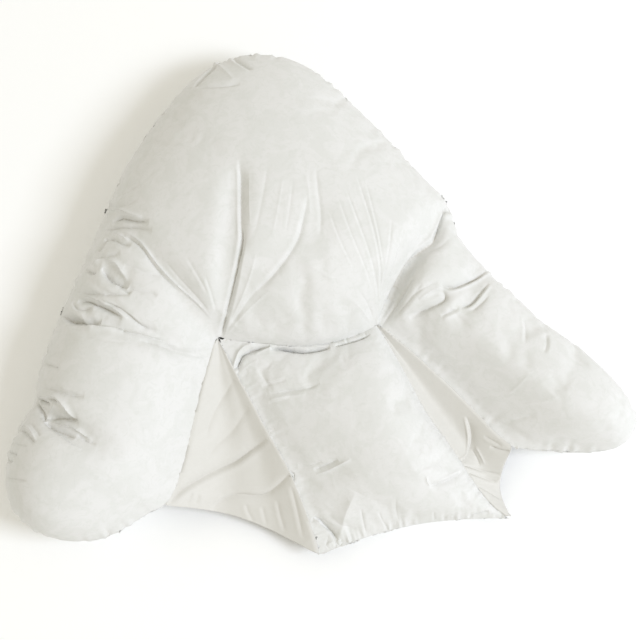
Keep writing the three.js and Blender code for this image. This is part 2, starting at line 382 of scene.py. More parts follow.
def let_out(seam, by):
    """The seam's line, moved level and away from the piece."""
    way = np.roll(seam, -3, axis=0)[:, :2] - np.roll(seam, 3, axis=0)[:, :2]
    outward = np.stack([way[:, 1], -way[:, 0]], axis=1) / np.linalg.norm(way, axis=1)[:, None]
    following = np.roll(seam, -1, axis=0)
    turns_left = (seam[:, 0] * following[:, 1] - seam[:, 1] * following[:, 0]).sum() > 0
    moved = seam.copy()
    moved[:, :2] += outward * (by if turns_left else -by)
    return moved


def sharpen_seam(piece, seam):
    places = places_of(piece)
    near, distance, number = near_line(seam, places, 2 * SEAM_PULL)
    pull = np.clip(1.6 - distance / SEAM_PULL, 0, 1)
    places[near] += (seam[number] - places[near]) * pull[:, None]
    # The point nearest to each place of the seam goes there, so that no stretch is left out
    tree = KDTree(len(places))
    for i, place in enumerate(places):
        tree.insert(place, i)
    tree.balance()
    closest = {}
    for place in seam:
        _, i, away = tree.find(place)
        if away < min(CHAIN_REACH, closest.get(i, (np.inf,))[0]):
            closest[i] = (away, place)
    for i, (_, place) in closest.items():
        places[i] = place
    put_places(piece, places)
    join_close_points(piece)


def join_close_points(piece):
    """Joins the points that the pull has brought together, so that no square is left as a sliver."""
    select_only(piece)
    bpy.ops.object.mode_set(mode="EDIT")
    bpy.ops.mesh.select_all(action="SELECT")
    bpy.ops.mesh.remove_doubles(threshold=CLOSE_POINTS)
    bpy.ops.object.mode_set(mode="OBJECT")


along_crotch = pad_seam[:, 2] > pad_seam[:, 2].max() - 0.0005
casing_seam = let_out(casing_seam, LET_OUT)
pad_seam = let_out(pad_seam, LET_OUT)
sharpen_seam(casing, casing_seam)
sharpen_seam(pad, pad_seam)

# %% Pull the pad out into its four corners
CORNER_STEPS = 8
CORNER_PULL = 0.007
STRAIGHT_ENOUGH = -0.55  # the cosine between the seam's two ways; it is -1 on a straight line


def corners_of(seam):
    """The places where the seam turns sharply, each the sharpest for some way around."""
    before = np.roll(seam, CORNER_STEPS, axis=0) - seam
    after = np.roll(seam, -CORNER_STEPS, axis=0) - seam
    lengths = np.linalg.norm(before, axis=1) * np.linalg.norm(after, axis=1)
    turn = np.einsum("ij,ij->i", before, after) / lengths
    shifts = range(-2 * CORNER_STEPS, 2 * CORNER_STEPS + 1)
    sharpest = np.max([np.roll(turn, shift) for shift in shifts], axis=0)
    return seam[(turn == sharpest) & (turn > STRAIGHT_ENOUGH)]


def pull_into_corners(piece, corners):
    """The remesh also rounded the corners off, so the points near each one are moved towards it."""
    places = places_of(piece)
    for corner in corners:
        away = np.linalg.norm(places - corner, axis=1)
        pull = np.clip(1.3 - away / CORNER_PULL, 0, 1)
        pull[np.argmin(away)] = 1
        places += (corner - places) * pull[:, None]
    put_places(piece, places)
    join_close_points(piece)


pad_corners = corners_of(pad_seam)
print("the pad's corners", [tuple(np.round(corner, 3)) for corner in pad_corners])
pull_into_corners(pad, pad_corners)

# %% Ease the cloth down to the sewn seams
SIDE_SLOPE = 1.5  # metres up for each metre away from the seam
CORNER_SLOPE = 0.75
STEEPENING = 10
CORNER_REACH = 0.07
EASED_REACH = 0.075
SOFTNESS = 0.004
SEWN_REACH = 0.003  # two seams nearer to each other than this are sewn together

crotch = pad_seam[along_crotch]
crotch = crotch[np.argsort(crotch[:, 0])]
crotch_corners = crotch[[0, -1]]


def places_sewn_on(seam, others):
    """Which points of a seam another piece is sewn to."""
    sewn = np.zeros(len(seam), bool)
    for other in others:
        sewn[near_line(other, seam, SEWN_REACH)[0]] = True
    return sewn


def ease_down(piece, seam, sewn, slope):
    """Keeps the top under a slope that starts at the sewn parts of the seam."""
    places = places_of(piece)
    line = seam[sewn]
    near, _, number = near_line(line, places, EASED_REACH)
    nearest = line[number]
    aside = np.linalg.norm(places[near, :2] - nearest[:, :2], axis=1)
    to_corner = np.linalg.norm(nearest[:, None, :2] - crotch_corners[None, :, :2], axis=2).min(axis=1)
    along = np.clip(to_corner / CORNER_REACH, 0, 1)
    steep = CORNER_SLOPE + (slope - CORNER_SLOPE) * along * along * (3 - 2 * along)
    ceiling = steep * aside + STEEPENING * aside**2
    over = places[near, 2] - nearest[:, 2] - ceiling
    lowered = 0.5 * (over + np.sqrt(over**2 + SOFTNESS**2)) - SOFTNESS / 2
    top = places[near, 2] > nearest[:, 2]
    places[near[top], 2] -= np.clip(lowered[top], 0, None)
    put_places(piece, places)
    print(piece.name, "lowered by up to", round(float(lowered.max()) * 1000, 1), "mm")


gusset_borders = [places_of(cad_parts[node]) for node in ("left_gusset", "right_gusset")]
casing_sewn = places_sewn_on(casing_seam, [crotch, *gusset_borders])
pad_sewn = places_sewn_on(pad_seam, [crotch, *gusset_borders])
ease_down(casing, casing_seam, casing_sewn, SIDE_SLOPE)
ease_down(pad, pad_seam, pad_sewn, SIDE_SLOPE)

# %% Even out the cloth beside the seams
EVENED_REACH = 0.012
STILL_REACH = 0.0004
EVENING = 0.6  # how far a point goes towards the average in one round


def means_around(piece, places):
    """For each point, the average place of the points that it shares an edge with."""
    count = len(places)
    ends = np.empty(len(piece.data.edges) * 2, dtype=np.int64)
    piece.data.edges.foreach_get("vertices", ends)
    first, second = ends.reshape(-1, 2).T
    share = np.bincount(first, minlength=count) + np.bincount(second, minlength=count)
    total = [
        np.bincount(first, places[second, k], count) + np.bincount(second, places[first, k], count)
        for k in range(3)
    ]
    return np.stack(total, axis=1) / share[:, None]


def even_beside(piece, seam, rounds=5):
    """Evens the squares next to a seam, whose own points stay where they are."""
    places = places_of(piece)
    near, distance, _ = near_line(seam, places, EVENED_REACH)
    weight = np.zeros(len(places))
    weight[near] = np.clip(1.5 * (1 - distance / EVENED_REACH), 0, 1) * (distance > STILL_REACH)
    for _ in range(rounds):
        places += (means_around(piece, places) - places) * EVENING * weight[:, None]
    put_places(piece, places)


even_beside(casing, casing_seam)
even_beside(pad, pad_seam)

# %% [markdown]
# ## Pressing the folds in
# A fold in filled cloth is a groove with a sharp bottom. One side is often steep and the other
# a long slope, and a soft roll may stand beside it where the cloth piles up. A tight ridge is
# the same thing turned round. Each row below is one such line: its places in the picture, its
# depth in millimetres, its half widths on the left and the right of the line's way, and how
# high the roll beside it is, on the right, or on the left with a minus sign. The squares near
# the lines are cut in nine first, so that the folds come out crisp.

# %% Press folds into a case
def finer_along(piece, lines):
    """Cuts the squares near the lines in nine."""
    places = places_of(piece)
    normals = normals_of(piece)
    near = np.zeros(len(places), bool)
    for line, reach in lines:
        near[beside(line, places, normals, reach)[0]] = True
    mesh = piece.data
    starts = np.empty(len(mesh.polygons), dtype=np.int64)
    corners = np.empty(len(mesh.loops), dtype=np.int64)
    mesh.polygons.foreach_get("loop_start", starts)
    mesh.loops.foreach_get("vertex_index", corners)
    chosen = np.logical_or.reduceat(near[corners], starts)
    mesh.vertices.foreach_set("select", np.zeros(len(mesh.vertices), bool))
    mesh.edges.foreach_set("select", np.zeros(len(mesh.edges), bool))
    mesh.polygons.foreach_set("select", chosen)
    select_only(piece)
    bpy.context.tool_settings.mesh_select_mode = (False, False, True)
    bpy.ops.object.mode_set(mode="EDIT")
    bpy.ops.mesh.subdivide(number_cuts=2, smoothness=0)
    bpy.ops.object.mode_set(mode="OBJECT")
    print(piece.name, "cut", int(chosen.sum()), "squares, now", len(mesh.polygons))


FOLD_REACH = 0.0045  # metres for each millimetre of a fold's half width
CUT_REACH = 0.0025
FOLD_SHARPNESS = 1.25  # 1 is a crease and 2 a rounded hollow
ROLL_PLACE = 2.1  # where the roll beside a fold stands, and how wide it is, in half widths
ROLL_WIDTH = 1.2


def press_folds(piece, folds):
    surface = surface_of(piece)
    lines = [on_cloth(surface, row[0]) for row in folds]
    finer_along(piece, [(line, CUT_REACH * max(row[2:4])) for line, row in zip(lines, folds)])
    places = places_of(piece)
    normals = normals_of(piece)
    sunk = np.zeros(len(places))
    for line, (_, depth, left, right, roll) in zip(lines, folds):
        near, distance, side, share = beside(line, places, normals, FOLD_REACH * max(left, right))
        fade = np.clip(np.minimum(share, 1 - share) * 5, 0, 1) ** 0.7
        width = np.where(side > 0, left, right) / 1000
        groove = np.exp(-((distance / width) ** FOLD_SHARPNESS))
        roll_width = (left if roll < 0 else right) / 1000
        shifted = distance * side + np.sign(roll) * ROLL_PLACE * roll_width
        rolled = np.exp(-((shifted / (ROLL_WIDTH * roll_width)) ** 2))
        sunk[near] += fade * (depth * groove - abs(roll) * rolled) / 1000
    places -= normals * sunk[:, None]
    places[:, 2] = np.maximum(places[:, 2], 0)
    put_places(piece, places)


HEAD_FOLDS = [
    # The long valley from the crotch up into the head
    ([(239, 160), (240, 180), (240, 201), (240, 226), (241, 240), (239, 258)], 4.5, 8, 1.8, 0.8),
    ([(241, 228), (240, 246), (238, 262), (234, 281), (229, 305), (223, 328), (220, 341)], 6, 2.6, 2.6, 0.8),
    ([(247, 236), (243, 262), (238, 288), (231, 315), (224, 336)], -1.2, 3, 3, 0),
    # Soft valleys that fan out from it
    ([(316, 168), (318, 190), (321, 213), (320, 236)], 1.6, 3, 2.5, 0.3),
    ([(308, 196), (303, 222), (298, 240), (287, 258), (272, 277), (258, 291)], 3.6, 4, 3, 0.4),
    ([(284, 262), (268, 280), (252, 296), (240, 312), (227, 330)], 2.4, 5, 2.5, 0),
    ([(270, 290), (256, 302), (240, 318), (227, 334)], -1.0, 1.8, 1.8, 0),
    ([(249, 170), (249, 200), (250, 226)], -0.7, 1.8, 1.8, 0),
    ([(256, 252), (250, 276), (240, 302), (228, 326)], -0.9, 1.8, 1.8, 0),
    ([(268, 165), (262, 200), (254, 236)], 0.8, 3, 2.5, 0),
    ([(283, 176), (278, 206), (272, 236)], -0.6, 2, 2, 0),
    ([(293, 180), (290, 208), (286, 232)], 0.7, 2, 2, 0),
    ([(306, 172), (309, 196), (310, 216)], -0.6, 2, 2, 0),
    # Fine lines that run up from the right crotch corner
    ([(357, 176), (367, 206), (376, 238), (381, 270), (380, 296)], 1.5, 1.5, 1.5, 0.5),
    ([(366, 182), (374, 212), (380, 240), (384, 268)], 1.1, 1.4, 1.4, 0.4),
    ([(346, 188), (358, 220), (370, 254), (377, 284), (378, 304)], 1.2, 1.5, 1.5, 0.4),
    ([(338, 196), (350, 230), (364, 264), (373, 290)], 0.9, 1.4, 1.4, 0.3),
    ([(392, 218), (390, 244), (386, 270), (381, 298)], 1.3, 1.5, 1.5, 0.4),
    ([(404, 228), (398, 252), (389, 280)], 0.9, 1.4, 1.4, 0.3),
    ([(330, 212), (340, 240), (354, 268)], 0.7, 1.4, 1.4, 0.3),
    ([(300, 262), (318, 270), (336, 282)], -0.7, 2.5, 2.5, 0),
    ([(352, 300), (362, 310), (370, 322)], -0.7, 1.8, 1.8, 0),
    ([(360, 292), (368, 304), (373, 318)], 0.9, 1.5, 1.5, 0),
    # Puckers where the seam turns at the top
    ([(226, 58), (214, 68), (203, 78), (194, 88)], 5, 3, 3, 2),
    ([(232, 58), (242, 64), (252, 70)], 4, 3, 3, 1.5),
    ([(196, 88), (210, 87), (226, 86), (240, 84)], 3, 5, 2, -1.5),
    ([(214, 62), (224, 70), (234, 80)], -1.8, 3.5, 3.5, 0),
]
SHOULDER_FOLDS = [
    # The head's edge rolls over the right wing
    (
        [(446, 208), (441, 224), (434, 239), (422, 249), (409, 262)]
        + [(399, 278), (391, 294), (383, 312), (377, 327)],
        8, 9, 2.2, 1.5,
    ),
    ([(406, 268), (398, 286), (389, 306), (379, 325)], 2, 2.5, 2.5, 0.8),
    ([(414, 276), (403, 294), (392, 311), (381, 327)], 2.5, 2.5, 2.5, 0.8),
    ([(422, 283), (410, 299), (397, 314)], 2, 3, 3, -1),
    ([(447, 205), (444, 217), (439, 229), (433, 239)], 4.5, 1.4, 2.6, 0),
    # Crumples across the right wing
    ([(489, 270), (478, 277), (464, 284), (452, 288), (441, 286)], 6, 2.2, 3, -2),
    ([(442, 287), (430, 291), (419, 299)], -3, 2.5, 2.5, 0),
    ([(438, 283), (425, 287), (414, 295)], 2.5, 2.5, 2.5, 0),
    ([(442, 290), (446, 298), (436, 305), (424, 311), (410, 319)], 5, 2.5, 4, 1.5),
    ([(441, 316), (450, 312), (459, 308)], 3, 2.5, 2.5, 1.5),
    ([(488, 283), (480, 294), (470, 305), (462, 306)], 4.5, 2.2, 3, -2),
    ([(471, 311), (480, 304), (489, 295)], 2.5, 3, 3, 0),
    ([(424, 250), (440, 246), (452, 236)], 1.5, 5, 5, 0.5),
    ([(524, 318), (526, 330), (525, 343)], 1.6, 2.5, 2.5, 0.8),
    ([(546, 333), (547, 344), (544, 353)], 1.6, 2.5, 2.5, -0.8),
    ([(560, 396), (545, 401), (522, 404)], -0.8, 2.5, 2.5, 0),
    ([(504, 422), (520, 419), (536, 415)], 1.2, 4, 4, 0),
    ([(530, 372), (520, 384), (508, 394)], -0.7, 2.5, 2.5, 0),
]
WING_FOLDS = [
    # Puckers along the left wing's outer seam
    ([(107, 219), (112, 212), (120, 210), (130, 214), (142, 217)], -4.8, 2.9, 3.5, 0),
    ([(112, 222), (120, 217), (132, 220), (149, 221)], 8.4, 2.6, 5.1, 0),
    ([(104, 229), (116, 227), (130, 227), (152, 230)], 6, 3.6, 4.3, 0),
    ([(107, 206), (120, 207), (138, 200)], 2, 3.5, 3.5, 0.8),
    ([(118, 196), (128, 192), (140, 184)], 1.5, 3, 3, 0.6),
    ([(109, 232), (119, 235), (129, 240)], -3.1, 2.9, 2.9, 0),
    ([(104, 240), (112, 239), (121, 243), (131, 245)], 4.8, 2.9, 3.5, 0),
    ([(98, 252), (103, 246), (106, 238)], 3.6, 2.9, 2.9, 0.8),
    ([(96, 258), (108, 257), (120, 252)], 3, 3.6, 3.6, 0),
    # The long thin fold to the crotch, and the lines beside it
    (
        [(121, 230), (132, 236), (143, 244), (151, 256)] + [(163, 271), (181, 289), (198, 303), (211, 318)],
        -2.6, 1.6, 1.5, 0,
    ),
    ([(121, 234), (132, 240), (142, 248), (150, 260), (162, 275), (180, 293)], 3.2, 1.4, 2.2, 0),
    ([(166, 262), (180, 279), (196, 296), (208, 310)], 0.9, 1.8, 1.8, 0.4),
    ([(205, 275), (211, 292), (217, 314)], 0.9, 1.8, 1.8, 0.4),
    ([(186, 256), (198, 276), (209, 296)], 0.7, 1.8, 1.8, 0.3),
    # The looped fold
    ([(90, 270), (96, 262), (106, 259), (116, 262), (122, 270), (127, 280)], -5.4, 2.9, 5.2, 0),
    ([(102, 268), (106, 275), (112, 281), (119, 283), (127, 288)], 8.4, 6.5, 2.2, 0),
    ([(117, 284), (125, 290), (131, 293)], 3.6, 2.2, 2.2, 0),
    ([(86, 270), (92, 273), (96, 272)], 4.8, 2.2, 2.9, 0),
    ([(74, 292), (90, 294), (108, 294), (130, 294)], 6, 5.8, 3.6, 0),
    ([(124, 286), (138, 291), (150, 292), (157, 296)], 3.1, 3.6, 3.6, 0),
    ([(124, 266), (136, 268), (148, 273), (161, 276)], 3.1, 3.6, 5.1, 0),
    # Two narrow folds under it
    ([(78, 297), (90, 297), (104, 303), (118, 311), (127, 319)], -3.6, 2.3, 2.3, 0),
    ([(78, 301), (90, 302), (104, 309), (122, 318)], 8.4, 2.3, 3.2, 0),
    ([(96, 297), (112, 303), (128, 313), (142, 324)], -2.4, 1.6, 1.6, 0),
    ([(106, 304), (118, 307), (130, 316), (142, 327), (156, 330)], 4.8, 2.6, 3.5, 0),
    ([(72, 302), (76, 308), (86, 309), (92, 308)], 4.2, 2.6, 3.6, 0),
    # The deepest one, with a long bright ridge under it
    ([(60, 315), (70, 320), (84, 323), (101, 323)], 13.2, 5.8, 2.9, 0),
    ([(79, 325), (92, 327), (115, 330), (134, 334), (153, 339), (179, 346)], -5.4, 2.6, 3.2, 0),
    ([(140, 340), (153, 343), (166, 347), (180, 351), (204, 355)], 3.4, 2.3, 3.8, 0),
    ([(78, 334), (98, 339), (124, 343)], 1.4, 4, 4, 0),
    ([(180, 347), (198, 350), (212, 347)], -1.4, 1.5, 1.5, 0),
    ([(176, 351), (192, 356), (210, 357)], 1.4, 1.5, 1.8, 0.4),
    # Folds over the left wing's tip
    ([(45, 364), (52, 366), (59, 368)], 3.6, 2.9, 2.9, 0),
    ([(42, 388), (54, 391), (68, 395), (84, 397)], 4.8, 5.8, 3.2, 0),
    ([(59, 387), (70, 391), (82, 393)], -1.6, 1.8, 1.8, 0),
    ([(37, 391), (40, 396), (47, 397), (54, 396), (62, 402), (69, 411), (75, 420)], -5.4, 2.9, 3.5, 0),
    ([(38, 399), (44, 402), (50, 405)], 6, 2.3, 2.3, 0),
    ([(48, 399), (53, 400), (58, 402)], 4.8, 1.9, 1.9, 0),
    ([(55, 403), (53, 408), (48, 412)], -3, 2.9, 2.9, 0),
    ([(37, 402), (40, 409), (44, 414), (45, 422)], 6, 2.3, 2.3, 0),
    ([(38, 397), (41, 404), (46, 410)], -2, 1.3, 1.3, 0),
    ([(46, 418), (58, 419), (68, 420), (78, 421)], 7.2, 4.1, 2.3, 0),
    ([(52, 422), (64, 426), (75, 428), (84, 434), (92, 441)], -4.8, 2.6, 2.6, 0),
    ([(46, 422), (54, 428), (64, 432), (75, 438)], 6, 2.3, 4.1, 0),
    ([(78, 434), (86, 441), (96, 444)], 2, 1.6, 2.4, 0),
    ([(41, 418), (48, 427), (58, 435), (70, 444), (82, 450)], -2.4, 1.6, 1.6, 0),
    ([(30, 422), (36, 430), (40, 436)], 2, 2, 2, 0),
    ([(19, 428), (27, 427), (32, 432), (36, 441)], -4.2, 2.3, 2.3, 0),
    ([(19, 430), (24, 431), (30, 438), (35, 443)], 4.8, 2.6, 3.5, 0),
    ([(11, 442), (20, 445), (28, 446)], 2, 2, 2, 0),
    ([(9, 452), (14, 454), (17, 456)], 3.6, 2.2, 2.2, 0.8),
    ([(6, 458), (9, 462), (13, 461)], 3.6, 2.2, 2.2, 0.8),
    ([(6, 478), (15, 479), (26, 481)], 2.4, 2, 2, 0.8),
]
PAD_FOLDS = [
    # The flap along the sewn edge: its ridge, the hollow inside it and the cracks under it
    (
        [(233, 374), (234, 366), (237, 356), (241, 349)] + [(247, 345), (258, 343), (272, 342), (284, 341)],
        -4, 2.6, 2.6, 0,
    ),
    ([(235, 376), (238, 365), (242, 357), (249, 352), (259, 349), (270, 346)], 9, 2.2, 3, 0),
    ([(281, 343), (292, 343), (304, 342), (317, 343)], 9, 1.6, 1.6, 0),
    ([(254, 354), (263, 350), (272, 347), (290, 346), (312, 346), (328, 346)], -3, 1.8, 1.8, 0),
    ([(270, 348), (284, 348), (298, 350), (308, 350), (320, 348), (330, 347)], 16, 2.4, 3, 0),
    ([(334, 346), (344, 343), (352, 341), (361, 338), (370, 334)], 7, 1.8, 1.8, 0),
    ([(332, 343), (337, 344)], -1.6, 1.4, 1.4, 0),
    ([(344, 338), (348, 342)], 2.2, 1.6, 1.6, 1),
    ([(362, 331), (366, 335)], 2, 1.8, 1.8, 0),
    # Slack folds on the pad's shaded side
    ([(266, 394), (284, 392), (304, 389), (320, 383)], 3.5, 3.5, 3.5, 0),
    ([(270, 399), (288, 396), (306, 394)], -1.4, 2.5, 2.5, 0),
    ([(262, 386), (276, 383), (286, 380)], 1.6, 2.5, 2.5, -0.6),
    ([(268, 404), (280, 401), (290, 399)], 1.2, 2.5, 2.5, -0.6),
    ([(240, 372), (250, 364), (258, 360)], -1.2, 3, 3, 0),
    ([(316, 474), (328, 470), (340, 464), (351, 459)], -2.6, 2.2, 2.2, 0),
    ([(314, 470), (326, 466), (338, 460)], 3.4, 2.6, 2.6, 0),
    ([(298, 466), (310, 466), (322, 462)], 2, 3, 3, 0),
    ([(426, 476), (427, 482), (430, 486)], -2, 2, 2, 0),
    ([(430, 486), (441, 483), (452, 478), (462, 472)], 3.6, 2, 4.5, -1),
    # The tucked corner at the free end
    ([(313, 517), (322, 525), (331, 533), (338, 540)], 7, 5, 2, 0),
    ([(338, 541), (342, 526), (347, 510), (356, 492)], -5, 9, 12, 0),
    ([(326, 546), (333, 541), (341, 541)], -2, 3, 3, 0),
    ([(468, 517), (478, 514), (489, 511)], 4, 1.5, 3, 0),
    # Puckers along the hem
    ([(361, 508), (363, 520), (366, 533)], 1.2, 1.6, 2, 0),
    ([(379, 512), (382, 520), (388, 530)], 1.0, 1.8, 1.6, 0),
    ([(396, 498), (396, 510), (399, 522)], 0.7, 1.6, 2.4, 0),
    ([(434, 512), (434, 517), (436, 523)], 0.9, 1.8, 1.8, 0),
]
for folds in (HEAD_FOLDS, SHOULDER_FOLDS, WING_FOLDS):
    press_folds(casing, folds)
press_folds(pad, PAD_FOLDS)
print("pressed", len(HEAD_FOLDS) + len(SHOULDER_FOLDS) + len(WING_FOLDS) + len(PAD_FOLDS), "folds")


# %% [markdown]
# ## Seams
# A sewn seam draws the cloth in along a narrow line, and the cloth either side stands in small
# puckers, a couple of centimetres apart and never quite even. The cloth turns over sharply at a
# seam, so its sharpest edges are marked, and the shading doesn't run smoothly across them.

# %% Draw the seams in
SEWN_PUCKERS = 0.1  # how high the puckers are where a sewn-on piece holds the seam taut
PUCKER_REACH = 0.05
GROOVE_WIDTH = 0.003
PUCKER_START = 0.008  # the puckers are highest here, and fade out over the next width
PUCKER_FADE = 0.03


def draw_in_seam(piece, seam, sewn, depth, pucker, apart, seed):
    places = places_of(piece)
    normals = normals_of(piece)
    near, distance, number = near_line(seam, places, PUCKER_REACH)
    along = number * np.linalg.norm(seam[1] - seam[0])
    evened = np.ones(25) / 25
    loose = np.convolve(np.where(sewn, 0.0, 1.0), evened, mode="same")[number]
    free = SEWN_PUCKERS + (1 - SEWN_PUCKERS) * loose
    rng = np.random.default_rng(seed)
    wave = np.zeros(len(near))
    for stretch, height in ((1.0, 0.6), (1.63, 0.35), (0.47, 0.45)):
        start = rng.uniform(0, 2 * math.pi)
        wave += height * np.sin(2 * math.pi * along * stretch / apart + start)
    patchy = 0.55 + 0.45 * np.sin(2 * math.pi * along / (apart * 6.3) + rng.uniform(0, 6))
    groove = depth * loose * np.exp(-((distance / GROOVE_WIDTH) ** 2))
    rising = (distance / PUCKER_START) * np.exp(1 - distance / PUCKER_START)
    puckers = pucker * free * wave * patchy * np.clip(rising, 0, 1) * np.exp(-distance / PUCKER_FADE)
    places[near] -= normals[near] * (groove - puckers)[:, None]
    places[:, 2] = np.maximum(places[:, 2], 0)
    put_places(piece, places)


draw_in_seam(casing, casing_seam, casing_sewn, 0.0016, 0.0028, 0.021, seed=11)
draw_in_seam(pad, pad_seam, pad_sewn, 0.0012, 0.0022, 0.015, seed=12)

# %% Keep the seams' edges crisp
SHARP_EDGE = math.radians(62)
for piece in (casing, pad):
    select_only(piece)
    bpy.context.tool_settings.mesh_select_mode = (False, True, False)
    bpy.ops.object.mode_set(mode="EDIT")
    bpy.ops.mesh.select_all(action="DESELECT")
    bpy.ops.mesh.edges_select_sharp(sharpness=SHARP_EDGE)
    bpy.ops.mesh.mark_sharp()
    bpy.ops.object.mode_set(mode="OBJECT")
    print(piece.name, "sharp edges", sum(edge.use_edge_sharp for edge in piece.data.edges))

# %% [markdown]
# ## The gussets
# Each gusset is one thickness of bare cotton between a wing's seam and the pad's. Its solid has
# the hang and the outline, so the top skin of a copy becomes the sheet. It is cut into small
# squares, and its folds are pressed in the same way. Solidify gives the cloth its thickness.


# %% Make a gusset from its solid
def gusset_sheet(node, name):
    piece = copy_of_solid(node, name)
    shape = bmesh.new()
    shape.from_mesh(piece.data)
    under = [face for face in shape.faces if face.normal.z < 0.2]
    bmesh.ops.delete(shape, geom=under, context="FACES")
    shape.to_mesh(piece.data)
    shape.free()
    select_only(piece)
    bpy.ops.object.mode_set(mode="EDIT")
    bpy.ops.mesh.select_all(action="SELECT")
    bpy.ops.mesh.tris_convert_to_quads(face_threshold=math.pi, shape_threshold=math.pi)
    bpy.ops.object.mode_set(mode="OBJECT")
    refine(piece, 2)
    return piece


CORNER_GAP = 0.0095  # from a sheet's first row to the crotch corner
CORNER_TUCK = 0.03  # nearer to that corner than this, the border is tucked in further
CORNER_MORE = 2.2
TUCK_HEIGHT = 0.0004  # how far the tucked border lies over the seam
BORDER_REACH = 0.004  # the border nearer to a seam than this is sewn to it


def tuck_under_seams(piece, seams, overlap):
    """Moves the border beside a seam on, past the seam and into the filled case."""
    shape = bmesh.new()
    shape.from_mesh(piece.data)
    lines = np.vstack(seams)
    moves = {}
    for vertex in shape.verts:
        if not vertex.is_boundary:
            continue
        place = np.array(vertex.co)
        away = lines - place
        nearest = int(np.argmin((away**2).sum(axis=1)))
        if np.linalg.norm(away[nearest]) > BORDER_REACH:
            continue
        inner = [edge.other_vert(vertex).co for edge in vertex.link_edges if not edge.is_boundary]
        if not inner:
            continue
        outward = (vertex.co - sum(inner, Vector()) / len(inner)).normalized()
        to_corner, corner = min((np.linalg.norm(place - spot), tuple(spot)) for spot in crotch_corners)
        beside_pad = nearest >= len(seams[0])
        if to_corner < CORNER_GAP and not beside_pad:
            moves[vertex] = Vector(corner)
            continue
        start = Vector(corner) if to_corner < CORNER_GAP else vertex.co
        more = 1 + CORNER_MORE * max(0, 1 - to_corner / CORNER_TUCK)
        moves[vertex] = start + outward * overlap * more
        moves[vertex].z = lines[nearest][2] + TUCK_HEIGHT
    for vertex, place in moves.items():
        vertex.co = place
    shape.to_mesh(piece.data)
    shape.free()
    print(piece.name, "tucked", len(moves), "border points")


LEFT_GUSSET_FOLDS = [
    # The long diagonal fold from the wing's corner, and the softer ones over it
    ([(168, 508), (179, 494), (204, 478), (232, 464), (248, 453), (267, 439)], 6, 8, 3.5, 1),
    ([(207, 460), (216, 446), (232, 432), (248, 407)], 2.5, 8, 6, 0),
    ([(234, 379), (224, 396), (212, 418), (206, 440)], 2.5, 5, 9, 0),
    # The lower fold and the puckers that the hem draws in
    ([(211, 510), (221, 501), (237, 494), (256, 496), (269, 492), (283, 480), (290, 473)], 4.5, 3, 7, 0),
    ([(246, 504), (248, 512), (254, 522)], 1.1, 3, 2.4, 0.4),
    ([(262, 506), (264, 515), (267, 525)], 1.0, 3, 2.4, 0.4),
    ([(277, 500), (280, 515), (285, 532)], 1.2, 3, 2.4, 0.4),
    ([(291, 486), (297, 510), (303, 538)], 1.6, 3.5, 2.6, 0.5),
    ([(186, 504), (190, 499), (192, 492)], 1.4, 2.5, 2.5, 0.6),
    ([(196, 504), (198, 499), (199, 494)], 1.2, 2.5, 2.5, 0.6),
]
RIGHT_GUSSET_FOLDS = [
    # The upper half hangs over the lower one, which is creased
    ([(466, 416), (470, 432), (470, 446), (467, 458), (459, 462)], 5, 9, 1.6, 1.5),
    ([(475, 447), (480, 454), (485, 465)], -1.6, 1.6, 1.6, 0),
    ([(472, 450), (477, 458), (480, 466)], 2, 1.6, 1.6, 0),
    ([(460, 463), (472, 467), (486, 472), (500, 474)], 2.2, 1.6, 2, 0.8),
    ([(463, 470), (476, 475), (490, 480), (501, 482)], 1.8, 1.6, 2, 0.8),
    ([(474, 484), (486, 490), (502, 500)], 1.4, 2.2, 2.2, 0.6),
    ([(484, 436), (493, 441), (502, 446)], 1.6, 1.8, 2.4, 0.6),
    ([(490, 446), (500, 450), (512, 452)], 3.5, 1.8, 2.6, 0),
]
left_gusset = gusset_sheet("left_gusset", "left_cloth")
right_gusset = gusset_sheet("right_gusset", "right_cloth")
for sheet in (left_gusset, right_gusset):
    tuck_under_seams(sheet, (casing_seam, pad_seam), 0.003)
press_folds(left_gusset, LEFT_GUSSET_FOLDS)
press_folds(right_gusset, RIGHT_GUSSET_FOLDS)


# %% Give the gussets their thickness
CLOTH_THICKNESS = 0.0009
for sheet in (left_gusset, right_gusset):
    thick = sheet.modifiers.new("Cloth", "SOLIDIFY")
    thick.thickness = CLOTH_THICKNESS
    thick.offset = 0
    select_only(sheet)
    bpy.ops.object.modifier_apply(modifier="Cloth")

# %% [markdown]
# ## Cotton
# Down-proof cotton is woven very tightly, so it has a slight sheen. The feathers press against
# it from inside, and show through as faint grey clouds and streaks. The folds get painted shade:
# their colour is mixed towards a darker, warmer brown, in place of the shade and the warm light
# that bounces between the cloth's sides there. For that, how far each point lies down in a
# hollow is stored, measured from the mesh itself.


# %% Measure the hollows
def mark_hollows(piece, rounds=14):
    """Stores how far each point lies under the average of the points around it."""
    start = places_of(piece)
    spread = start.copy()
    for _ in range(rounds):
        spread = 0.5 * spread + 0.5 * means_around(piece, spread)
    under = np.einsum("ij,ij->i", spread - start, normals_of(piece)) * 1000
    # This hollow value is the mask for the painted shade in the folds
    hollow = np.clip(under / 3, 0, 1) ** 1.5
    attribute = piece.data.attributes.new("hollow", "FLOAT", "POINT")
    attribute.data.foreach_set("value", hollow.astype(np.float32))
    print(piece.name, "hollow over half:", int((hollow > 0.5).sum()))


for piece in (casing, pad, left_gusset, right_gusset):
    mark_hollows(piece)


# %% Build the cotton materials
def link(material, out, into):
    material.node_tree.links.new(out, into)


